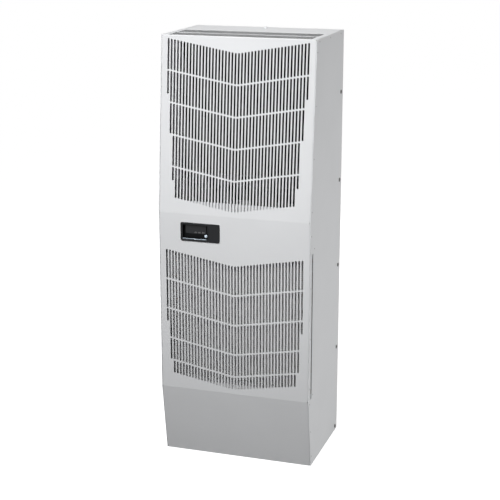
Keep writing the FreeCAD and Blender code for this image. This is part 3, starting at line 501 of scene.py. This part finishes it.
FINISHES: dict[Slot, Paint | Galvanised | BareMetal | Moulding | Foam] = {
    Slot.SHELL_PAINT: Paint("light_grey_powder_coat", (0.66, 0.668, 0.68), 0.46),
    Slot.DARK_STEEL: BareMetal("oxide_black_screw", (0.13, 0.13, 0.125), 0.42, stain=0.6, metallic=0.8),
    Slot.GALVANISED: Galvanised("zinc_spangle_sheet", (0.58, 0.60, 0.61)),
    Slot.PLATED_STEEL: BareMetal("zinc_plated_wire", (0.66, 0.665, 0.66), 0.34),
    Slot.FOAM_RUBBER: Foam("closed_cell_seal", (0.022, 0.022, 0.023), 900.0, 0.25 * MM),
    Slot.FOAM: Foam("open_cell_insulation", (0.012, 0.012, 0.012), 420.0, 0.7 * MM, 0.97),
    Slot.FIN_ALUMINIUM: BareMetal("fin_stock", (0.58, 0.595, 0.605), 0.4, (1.0, 1.0, 0.05)),
    Slot.MOTOR_ALUMINIUM: BareMetal("cast_motor", (0.52, 0.53, 0.54), 0.5, grain=700.0),
    Slot.FILTER_ALUMINIUM: BareMetal("mill_finish_channel", (0.4, 0.405, 0.41), 0.58, (1.0, 1.0, 0.04),
                                     metallic=0.8),
    Slot.FILTER_MEDIA: BareMetal("expanded_aluminium", (0.62, 0.625, 0.63), 0.6, grain=900.0, metallic=0.15),
    Slot.COPPER: BareMetal("drawn_copper", (0.46, 0.23, 0.14), 0.36, (0.05, 1.0, 1.0), stain=0.55),
    Slot.BLACK_PAINT: Paint("black_enamel", (0.018, 0.018, 0.019), 0.38, 420.0, drift=0.15),
    Slot.RUBBER: Foam("black_rubber", (0.02, 0.02, 0.02), 1800.0, 0.05 * MM, 0.78),
    # Black plastic set darker than the plastic itself, so that it also carries painted shade in the
    # controller pocket.
    Slot.BLACK_PLASTIC: Moulding("black_moulding", (0.004, 0.0042, 0.0046), 0.5, gloss=0.08),
    Slot.PALE_PLASTIC: Moulding("ivory_moulding", (0.60, 0.56, 0.45), 0.48, drift=0.04),
    Slot.FAN_PLASTIC: Moulding("fan_wheel_moulding", (0.014, 0.014, 0.014), 0.6, 600.0, 0.1 * MM),
    Slot.BEZEL_PLASTIC: Moulding("bezel_moulding", (0.0084, 0.009, 0.0106), 0.36, gloss=0.24),
    Slot.WINDOW_PLASTIC: Moulding("smoked_window", (0.011, 0.0116, 0.0138), 0.2, 300.0, 0.005 * MM, 0.05,
                                  gloss=0.28),
    Slot.KEY_PLASTIC: Moulding("grey_key", (0.062, 0.061, 0.063), 0.5, drift=0.06),
    Slot.BUTTON_PLASTIC: CappedMoulding("pale_dome", (0.50, 0.59, 0.68), 0.16, 500.0, 0.01 * MM, 0.6, 0.05),
}


class Palette:
    """Materials of the finishes, each made once."""

    def __init__(self) -> None:
        """Start with no material made."""
        self._made: dict[Slot, bpy.types.Material] = {}

    def material(self, slot: Slot) -> bpy.types.Material:
        """Material of a slot's finish.

        Args:
            slot: Slot of the record.

        Returns:
            The material, the same one each time.
        """
        if slot not in self._made:
            self._made[slot] = FINISHES[slot].material()
        return self._made[slot]

    def dress(self, thing: bpy.types.Object, slot: Slot) -> None:
        """Give an object one finish all over."""
        thing.data.materials.clear()
        thing.data.materials.append(self.material(slot))


def round_section(radius: float, sides: int) -> Section:
    """Round outline for a wire or a tube.

    Args:
        radius: Radius in metres.
        sides: Number of corners.

    Returns:
        The corners in order.
    """
    turns = [2.0 * math.pi * i / sides for i in range(sides)]
    return [(radius * math.cos(turn), radius * math.sin(turn)) for turn in turns]


class Draft:
    """Points and faces of one piece before it becomes an object."""

    def __init__(self) -> None:
        """Start with an empty mesh."""
        self.points: list[Vector] = []
        self.faces: list[tuple[int, ...]] = []

    def ring_stack(self, rings: Sequence[Sequence[Vector]], closed: bool = False) -> None:
        """Skin a row of rings that have the same number of points.

        Args:
            rings: The rings in order.
            closed: True to join the last ring to the first, False to cap both ends.
        """
        start = len(self.points)
        size = len(rings[0])
        for ring in rings:
            self.points.extend(ring)
        count = len(rings)
        for i in range(count if closed else count - 1):
            here = start + i * size
            there = start + (i + 1) % count * size
            for k in range(size):
                after = (k + 1) % size
                self.faces.append((here + k, here + after, there + after, there + k))
        if not closed:
            self.faces.append(tuple(start + k for k in reversed(range(size))))
            self.faces.append(tuple(start + (count - 1) * size + k for k in range(size)))

    def sweep(self, path: Sequence[Vector], section: Section, up: Vector, closed: bool = False) -> None:
        """Carry a section along a path that lies square to one direction, with mitred corners.

        Args:
            path: Points of the path.
            section: Outline as (sideways, up).
            up: Direction square to the path.
            closed: True for a path that comes back to its start.
        """
        count = len(path)
        rings = []
        for i, point in enumerate(path):
            before = path[i - 1] if i or closed else point
            after = path[(i + 1) % count] if i < count - 1 or closed else point
            into = (point - before).normalized() if before != point else (after - point).normalized()
            onward = (after - point).normalized() if after != point else into
            along = (into + onward).normalized()
            side = up.cross(along) / max(MITRE_LIMIT, along.dot(onward))
            rings.append([point + side * a + up * b for a, b in section])
        self.ring_stack(rings, closed)

    def lathe(self, profile: Section, centre: Vector, axis: Vector, sides: int) -> None:
        """Turn a profile about an axis.

        Args:
            profile: Points as (radius, along); the first and last lie off the axis and are capped.
            centre: Point where along is 0.
            axis: Direction of along.
            sides: Number of steps round the axis.
        """
        first = axis.orthogonal().normalized()
        second = axis.cross(first)
        rings = []
        for radius, along in profile:
            ring = []
            for a, b in round_section(radius, sides):
                ring.append(centre + axis * along + first * a + second * b)
            rings.append(ring)
        self.ring_stack(rings)

    def piece(self, name: str, shading: Shading) -> bpy.types.Object:
        """Make the object.

        Args:
            name: Name of the piece.
            shading: Flat or smooth.

        Returns:
            The object, in the row frame.
        """
        mesh = bpy.data.meshes.new(name)
        mesh.from_pydata(self.points, [], self.faces)
        mesh.validate()
        mesh.update()
        if shading is Shading.SMOOTH:
            mesh.shade_smooth()
        thing = bpy.data.objects.new(name, mesh)
        bpy.context.scene.collection.objects.link(thing)
        return thing


@dataclass
class Fitting:
    """What every sub-assembly shares: the palette, and how a finished piece joins the frame."""

    palette: Palette

    def join(self, thing: bpy.types.Object, slot: Slot, body: Body,
             stands_for: Sequence[str] = ()) -> bpy.types.Object:
        """Dress a piece and set it on its body.

        Args:
            thing: The finished object.
            slot: Slot that it takes its finish from.
            body: Body that it moves with.
            stands_for: CAD nodes that it is shown in place of.

        Returns:
            The same object.
        """
        self.palette.dress(thing, slot)
        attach(thing, body.value)
        if stands_for:
            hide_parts(*stands_for)
        return thing

    def build(self) -> Iterator[bpy.types.Object]:
        """Make the pieces of the sub-assembly."""
        raise NotImplementedError


@dataclass
class SlideOutFilter(Fitting):
    """Washable filter: layers of expanded aluminium in a mitred channel frame."""

    long_way: float = 11.0 * MM
    short_way: float = 6.4 * MM
    strand_width: float = 1.2 * MM
    strand_thickness: float = 0.6 * MM
    layer_offset: float = 2.4 * MM
    tuck: float = 9.0 * MM
    channel_wall: float = 1.2 * MM
    border: float = 16.0 * MM
    corner_gap: float = 0.3 * MM
    lip: float = 2.0 * MM
    lip_round: float = 0.6 * MM

    def screen(self) -> bpy.types.Object:
        """Two layers of diamond mesh, one shifted by half a diamond.

        Returns:
            The screen.
        """
        low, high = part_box("filter_mesh")
        x0, x1 = low.x - self.tuck, high.x + self.tuck
        z0, z1 = low.z - self.tuck, high.z + self.tuck
        middle = (low.y + high.y) / 2
        half_w, half_t = self.strand_width / 2, self.strand_thickness / 2
        section = [(-half_w, -half_t), (half_w, -half_t), (half_w, half_t), (-half_w, half_t)]
        steps = int((x1 - x0) / (self.long_way / 2))
        rows = int((z1 - z0) / (self.short_way / 2)) - 1
        draft = Draft()
        for layer, y in enumerate((middle - self.layer_offset, middle + self.layer_offset)):
            for row in range(rows):
                z = z0 + (row + 1) * self.short_way / 2
                path = []
                for k in range(steps + 1):
                    swing = self.short_way / 4 if (k + row + layer) % 2 else -self.short_way / 4
                    path.append(Vector((x0 + k * self.long_way / 2, y, z + swing)))
                draft.sweep(path, section, REARWARD)
        return draft.piece("filter_screen", Shading.FLAT)

    def channel(self) -> bpy.types.Object:
        """Four folded channels with mitred ends, and the pull lip along the outer one.

        Returns:
            The frame of the filter.
        """
        low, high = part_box("filter_frame")
        middle = (low.y + high.y) / 2
        deep = (high.y - low.y) / 2
        wall, reach = self.channel_wall, self.border
        section = [
            (0.0, deep), (reach, deep), (reach, deep - wall), (wall, deep - wall),
            (wall, wall - deep), (reach, wall - deep), (reach, -deep), (0.0, -deep),
        ]
        corners = [
            Vector((low.x, middle, low.z)), Vector((high.x, middle, low.z)),
            Vector((high.x, middle, high.z)), Vector((low.x, middle, high.z)),
        ]
        centre = (low + high) / 2
        draft = Draft()
        for i, start in enumerate(corners):
            end = corners[(i + 1) % 4]
            along = (end - start).normalized() * self.corner_gap
            rings = []
            for corner, shift in ((start, along), (end, -along)):
                inward_x = 1.0 if corner.x < centre.x else -1.0
                inward_z = 1.0 if corner.z < centre.z else -1.0
                diagonal = Vector((inward_x, 0.0, inward_z))
                rings.append([corner + shift + diagonal * a + REARWARD * b for a, b in section])
            draft.ring_stack(rings)
        edge = self.lip - self.lip_round
        flat = deep - self.lip_round
        nose = [(0.0, -deep), (edge, -deep), (self.lip, -flat), (self.lip, flat), (edge, deep), (0.0, deep)]
        draft.ring_stack([[Vector((high.x + a, middle + b, z)) for a, b in nose] for z in (low.z, high.z)])
        return draft.piece("filter_channel", Shading.FLAT)

    def build(self) -> Iterator[bpy.types.Object]:
        """Make the screen and its frame."""
        yield self.join(self.screen(), Slot.FILTER_MEDIA, Body.FILTER, ("filter_mesh",))
        yield self.join(self.channel(), Slot.FILTER_ALUMINIUM, Body.FILTER, ("filter_frame",))


@dataclass
class FinPack(Fitting):
    """Closely set corrugated fins of one coil."""

    node: str
    pitch: float = 2.0 * MM
    thickness: float = 0.16 * MM
    wave: float = 0.32 * MM
    folds: int = 8

    def build(self) -> Iterator[bpy.types.Object]:
        """Make the fins across the space of the CAD ones.

        Returns:
            The pack of fins as one piece.
        """
        low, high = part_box(self.node)
        count = int((high.x - low.x) / self.pitch)
        start = (low.x + high.x) / 2 - (count - 1) / 2 * self.pitch
        draft = Draft()
        for i in range(count):
            x = start + i * self.pitch
            left, right = [], []
            for k in range(self.folds + 1):
                y = low.y + (high.y - low.y) * k / self.folds
                swing = self.wave if k % 2 else -self.wave
                left.append((x + swing - self.thickness / 2, y))
                right.append((x + swing + self.thickness / 2, y))
            outline = right + left[::-1]
            rings = [[Vector((a, b, z)) for a, b in outline] for z in (low.z, high.z)]
            draft.ring_stack(rings)
        piece = draft.piece(self.node + "_pack", Shading.FLAT)
        yield self.join(piece, Slot.FIN_ALUMINIUM, Body.CABINET, (self.node,))


@dataclass
class RearGuards(Fitting):
    """Wire guards in the two openings of the rear face."""

    wire: float = 1.2 * MM
    wire_sides: int = 8
    ring_steps: int = 72
    ring_radii: tuple[float, ...] = (0.026, 0.036, 0.046, 0.056, 0.066)
    spokes: int = 6
    spoke_turn: float = 30.0
    spoke_start: float = 12.0 * MM
    spoke_reach: float = 77.6 * MM
    disc_sides: int = 48
    bar: float = 1.3 * MM
    bars: int = 13
    bar_depth: float = 4.0 * MM
    rim: float = 12.0 * MM
    rim_half: float = 1.5 * MM
    stays: tuple[float, ...] = (-0.096, 0.0, 0.096)
    stay_drop: float = 2.6 * MM
    stay_inset: float = 2.0 * MM
    spacer: float = 7.0 * MM
    spacer_sides: int = 12

    def disc(self) -> Section:
        """Outline of the pressed disc as (radius, along), from its rolled edge to the middle of its rear.

        Returns:
            The points in metres.
        """
        edge = [(14.0, -1.2), (15.6, -0.9), (16.0, 0.0), (15.4, 0.8)]
        dish = [(12.5, 1.15), (11.5, 0.5), (1.0, 0.5)]
        return [(radius * MM, along * MM) for radius, along in edge + dish]

    def round_guard(self) -> bpy.types.Object:
        """Rings on six spokes with a pressed disc in the middle.

        Returns:
            The guard of the warm-air inlet.
        """
        low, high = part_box("inlet_guard")
        centre_z = (low.z + high.z) / 2
        hub = Vector((0.0, high.y - self.wire, centre_z))
        section = round_section(self.wire, self.wire_sides)
        draft = Draft()
        for radius in self.ring_radii:
            path = [hub + Vector((a, 0.0, b)) for a, b in round_section(radius, self.ring_steps)]
            draft.sweep(path, section, REARWARD, True)
        foot = hub - REARWARD * (2.0 * self.wire)
        for i in range(self.spokes):
            turn = math.radians(360.0 / self.spokes * i + self.spoke_turn)
            out = Vector((math.cos(turn), 0.0, math.sin(turn)))
            draft.sweep([foot + out * self.spoke_start, foot + out * self.spoke_reach], section, REARWARD)
        draft.lathe(self.disc(), hub, REARWARD, self.disc_sides)
        return draft.piece("inlet_wire_guard", Shading.SMOOTH)

    def square_grid(self) -> bpy.types.Object:
        """Flat rim with round bars, three stays and corner spacers.

        Returns:
            The guard of the cold-air outlet.
        """
        low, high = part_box("outlet_guard")
        bar_y = low.y + self.bar_depth
        section = round_section(self.bar, self.wire_sides)
        draft = Draft()
        half, thick = self.rim / 2, self.rim_half
        flat = [(-half, -thick), (half, -thick), (half, thick), (-half, thick)]
        loop = [
            Vector((low.x + half, bar_y, low.z + half)), Vector((high.x - half, bar_y, low.z + half)),
            Vector((high.x - half, bar_y, high.z - half)), Vector((low.x + half, bar_y, high.z - half)),
        ]
        draft.sweep(loop, flat, REARWARD, True)
        inner_z = low.z + self.rim
        pitch = (high.z - low.z - 2.0 * self.rim) / (self.bars + 1)
        for i in range(self.bars):
            z = inner_z + pitch * (i + 1)
            ends = [Vector((low.x + half, bar_y, z)), Vector((high.x - half, bar_y, z))]
            draft.sweep(ends, section, REARWARD)
        stay_y = bar_y - self.stay_drop
        foot, head = low.z + self.stay_inset, high.z - self.stay_inset
        for x in self.stays:
            draft.sweep([Vector((x, stay_y, foot)), Vector((x, stay_y, head))], section, REARWARD)
        side = self.spacer / 2
        post = round_section(side, self.spacer_sides)
        for x in (low.x + side, high.x - side):
            for z in (low.z + side, high.z - side):
                draft.sweep([Vector((x, bar_y + thick, z)), Vector((x, high.y, z))], post, UPWARD)
        return draft.piece("outlet_wire_grid", Shading.FLAT)

    def build(self) -> Iterator[bpy.types.Object]:
        """Make both guards."""
        yield self.join(self.round_guard(), Slot.PLATED_STEEL, Body.CABINET, ("inlet_guard",))
        yield self.join(self.square_grid(), Slot.PLATED_STEEL, Body.CABINET, ("outlet_guard",))


@dataclass
class SideDimpleDots(Fitting):
    """Dark head set in each dimple of the side sheets, just below the surface, so that each dimple shows as a
    dark dot.
    """

    nodes: dict[str, bpy.types.Object]
    skin: float = 0.1 * MM
    reach: float = 6.0 * MM
    sides: int = 20

    def head(self) -> Section:
        """Outline of a head as (radius, along), from inside the dimple to just below the surface.

        Returns:
            The points in metres.
        """
        outline = [(2.0, -1.1), (2.0, -0.4), (1.7, -0.2), (1.0, -0.1), (0.3, -0.08)]
        return [(radius * MM, along * MM) for radius, along in outline]

    def dimples(self, name: str) -> list[list[Vector]]:
        """Points of each dimple, which lie between the two faces of the flat sheet.

        Args:
            name: Node of the sheet.

        Returns:
            One list of points for each dimple.
        """
        low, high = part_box(name)
        sheet = self.nodes[name]
        groups: list[list[Vector]] = []
        for vertex in sheet.data.vertices:
            point = sheet.matrix_world @ vertex.co
            if not low.x + self.skin < point.x < high.x - self.skin:
                continue
            for group in groups:
                if (group[0] - point).length < self.reach:
                    group.append(point)
                    break
            else:
                groups.append([point])
        return groups

    def build(self) -> Iterator[bpy.types.Object]:
        """Make the dark heads of both sheets.

        Returns:
            The heads as one piece.
        """
        draft = Draft()
        head = self.head()
        for name, outward in (("left_side_panel", -1.0), ("right_side_panel", 1.0)):
            low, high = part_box(name)
            face = high.x if outward > 0.0 else low.x
            for points in self.dimples(name):
                y = (min(point.y for point in points) + max(point.y for point in points)) / 2
                z = (min(point.z for point in points) + max(point.z for point in points)) / 2
                draft.lathe(head, Vector((face, y, z)), Vector((outward, 0.0, 0.0)), self.sides)
        # The dark heads make each dimple read as a dark dot.
        yield self.join(draft.piece("side_dimple_dots", Shading.SMOOTH), Slot.DARK_STEEL, Body.CABINET)


@dataclass
class ControlPanel(Fitting):
    """Controller in the middle panel: a pale sill along the foot of its pocket, a painted highlight that
    stands in for the glint reflected along the pocket's floor.
    """

    pocket_start: float = 7.0 * MM
    pocket_foot: float = 6.5 * MM
    length: float = 75.0 * MM
    half_height: float = 0.95 * MM
    half_depth: float = 2.0 * MM
    set_back: float = 4.0 * MM
    rise: float = 0.4 * MM
    swell: float = 0.4 * MM
    waves: float = 2.4
    wave_start: float = 1.2
    steps: int = 64
    sides: int = 16

    def build(self) -> Iterator[bpy.types.Object]:
        """Make the sill, a pale bead that paints the glint along the pocket's foot; it lies half sunk there
        and rises and falls a little.

        Returns:
            The sill.
        """
        low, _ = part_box("controller_bezel")
        start = low + Vector((self.pocket_start, self.set_back, self.pocket_foot + self.rise))
        path = []
        for k in range(self.steps + 1):
            share = k / self.steps
            lift = self.swell * math.sin(2.0 * math.pi * self.waves * share + self.wave_start)
            path.append(start + Vector((self.length * share, 0.0, lift)))
        section = [(self.half_height * a, self.half_depth * b) for a, b in round_section(1.0, self.sides)]
        draft = Draft()
        draft.sweep(path, section, REARWARD)
        piece = draft.piece("painted_glint_sill", Shading.SMOOTH)
        # The pale dome finish makes the sill a painted highlight of the glint on the pocket's floor.
        yield self.join(piece, Slot.BUTTON_PLASTIC, Body.CABINET)


class Softbox(Enum):
    """Lamps of the studio, each with a job."""

    KEY = "key"
    RIGHT = "right"
    LEFT = "left"
    BACK = "back"


@dataclass(frozen=True)
class Lamp:
    """One soft rectangular lamp, whose grid keeps the light within an angle in degrees."""

    job: Softbox
    place: Triple
    aim: Triple
    size: tuple[float, float]
    watts: float
    spread: float = 180.0


@dataclass
class Studio:
    """White room with a pale floor, soft lamps and the camera."""

    floor_half: float = 30.0
    floor_tone: float = 0.4
    floor_bounce: float = 0.02
    ambient: float = 0.2
    eye: Triple = (1.215, -3.7155, 1.709)
    turn: float = 18.2
    dip: float = 15.28
    lens: float = 92.6
    sensor: float = 36.0
    lamps: tuple[Lamp, ...] = field(default_factory=lambda: (
        Lamp(Softbox.KEY, (-0.4, -3.0, 3.4), (0.0, 0.0, 1.05), (1.8, 1.8), 16.9, 44.0),
        Lamp(Softbox.RIGHT, (2.4, 0.1, 0.7), (0.0, 0.0, 0.6), (1.4, 1.4), 26.0),
        Lamp(Softbox.LEFT, (-2.4, 0.9, 1.0), (0.0, 0.1, 0.66), (1.4, 1.4), 20.0),
        Lamp(Softbox.BACK, (-0.9, 3.0, 0.8), (0.0, 0.1, 0.66), (2.0, 0.9), 18.0),
    ))

    def seen(self, tree: bpy.types.NodeTree) -> bpy.types.NodeSocket:
        """Value that is 1 where a ray comes from the camera, a reflection or clear plastic.

        Args:
            tree: Node tree to build in.

        Returns:
            The value.
        """
        path = tree.nodes.new("ShaderNodeLightPath")
        value = path.outputs["Is Camera Ray"]
        for name in ("Is Glossy Ray", "Is Transmission Ray"):
            node = tree.nodes.new("ShaderNodeMath")
            node.operation = "MAXIMUM"
            tree.links.new(value, node.inputs[0])
            tree.links.new(path.outputs[name], node.inputs[1])
            value = node.outputs["Value"]
        return value

    def world(self) -> None:
        """White surroundings that light the object at a plain level."""
        world = bpy.data.worlds.new("white_room")
        world.use_nodes = True
        tree = world.node_tree
        tree.nodes.clear()
        output = tree.nodes.new("ShaderNodeOutputWorld")
        light = tree.nodes.new("ShaderNodeBackground")
        light.inputs["Strength"].default_value = self.ambient
        light.inputs["Color"].default_value = grey(1.0)
        white = tree.nodes.new("ShaderNodeBackground")
        white.inputs["Color"].default_value = grey(1.0)
        mix = tree.nodes.new("ShaderNodeMixShader")
        tree.links.new(self.seen(tree), mix.inputs["Fac"])
        tree.links.new(light.outputs["Background"], mix.inputs[1])
        tree.links.new(white.outputs["Background"], mix.inputs[2])
        tree.links.new(mix.outputs["Shader"], output.inputs["Surface"])
        bpy.context.scene.world = world

    def floor(self) -> None:
        """Pale floor that fades into the surroundings and keeps the shadow."""
        half = self.floor_half
        mesh = bpy.data.meshes.new("floor")
        corners = [(-half, -half, 0.0), (half, -half, 0.0), (half, half, 0.0), (-half, half, 0.0)]
        mesh.from_pydata(corners, [], [(0, 1, 2, 3)])
        thing = bpy.data.objects.new("floor", mesh)
        bpy.context.scene.collection.objects.link(thing)
        material = bpy.data.materials.new("pale_floor")
        material.use_nodes = True
        tree = material.node_tree
        tree.nodes.clear()
        output = tree.nodes.new("ShaderNodeOutputMaterial")
        bounce = tree.nodes.new("ShaderNodeBsdfDiffuse")
        bounce.inputs["Color"].default_value = grey(self.floor_bounce)
        diffuse = tree.nodes.new("ShaderNodeBsdfDiffuse")
        diffuse.inputs["Color"].default_value = grey(self.floor_tone)
        glow = tree.nodes.new("ShaderNodeEmission")
        glow.inputs["Color"].default_value = grey(1.0)
        glow.inputs["Strength"].default_value = 1.0 - self.floor_tone * self.ambient
        total = tree.nodes.new("ShaderNodeAddShader")
        tree.links.new(diffuse.outputs["BSDF"], total.inputs[0])
        tree.links.new(glow.outputs["Emission"], total.inputs[1])
        mix = tree.nodes.new("ShaderNodeMixShader")
        tree.links.new(self.seen(tree), mix.inputs["Fac"])
        tree.links.new(bounce.outputs["BSDF"], mix.inputs[1])
        tree.links.new(total.outputs["Shader"], mix.inputs[2])
        tree.links.new(mix.outputs["Shader"], output.inputs["Surface"])
        mesh.materials.append(material)

    def lamp(self, lamp: Lamp) -> None:
        """Hang one soft lamp that the camera does not see.

        Args:
            lamp: Its place, aim, size and power.
        """
        light = bpy.data.lights.new(lamp.job.value, "AREA")
        light.shape = "RECTANGLE"
        light.size, light.size_y = lamp.size
        light.energy = lamp.watts
        light.spread = math.radians(lamp.spread)
        thing = bpy.data.objects.new(lamp.job.value, light)
        thing.location = lamp.place
        aim = Vector(lamp.aim) - Vector(lamp.place)
        thing.rotation_euler = aim.to_track_quat("-Z", "Y").to_euler()
        thing.visible_camera = False
        bpy.context.scene.collection.objects.link(thing)

    def camera(self) -> None:
        """Camera at the photograph's angle."""
        data = bpy.data.cameras.new("camera")
        data.lens = self.lens
        data.sensor_width = self.sensor
        thing = bpy.data.objects.new("camera", data)
        thing.location = self.eye
        thing.rotation_euler = (math.radians(90.0 - self.dip), 0.0, math.radians(self.turn))
        bpy.context.scene.collection.objects.link(thing)
        bpy.context.scene.camera = thing

    def set_up(self) -> None:
        """Build the room and set the plain view transform."""
        self.world()
        self.floor()
        for lamp in self.lamps:
            self.lamp(lamp)
        self.camera()
        bpy.context.scene.view_settings.view_transform = "Standard"


def dress_frame(frame: dict[str, Any], palette: Palette) -> None:
    """Give every CAD node the finish of its slot.

    Args:
        frame: The loaded frame.
        palette: Materials of the finishes.
    """
    for part in frame["record"]["subparts"]:
        name = part["node"]
        slot = Slot(part["material_slot"])
        palette.dress(frame["nodes"][name], slot)
        LOG.info("%s: %s", name, slot.value)


def main() -> None:
    """Dress the frame, build the finer pieces and set the stage."""
    logging.basicConfig(level=logging.INFO, format="%(message)s")
    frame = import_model()
    palette = Palette()
    dress_frame(frame, palette)
    assemblies: list[Fitting] = [
        SlideOutFilter(palette),
        FinPack(palette, "condenser_fins"),
        FinPack(palette, "evaporator_fins"),
        RearGuards(palette),
        SideDimpleDots(palette, frame["nodes"]),
        ControlPanel(palette),
    ]
    for assembly in assemblies:
        for piece in assembly.build():
            LOG.info("%s: %d faces", piece.name, len(piece.data.polygons))
    Studio().set_up()


if __name__ == "__main__":
    main()
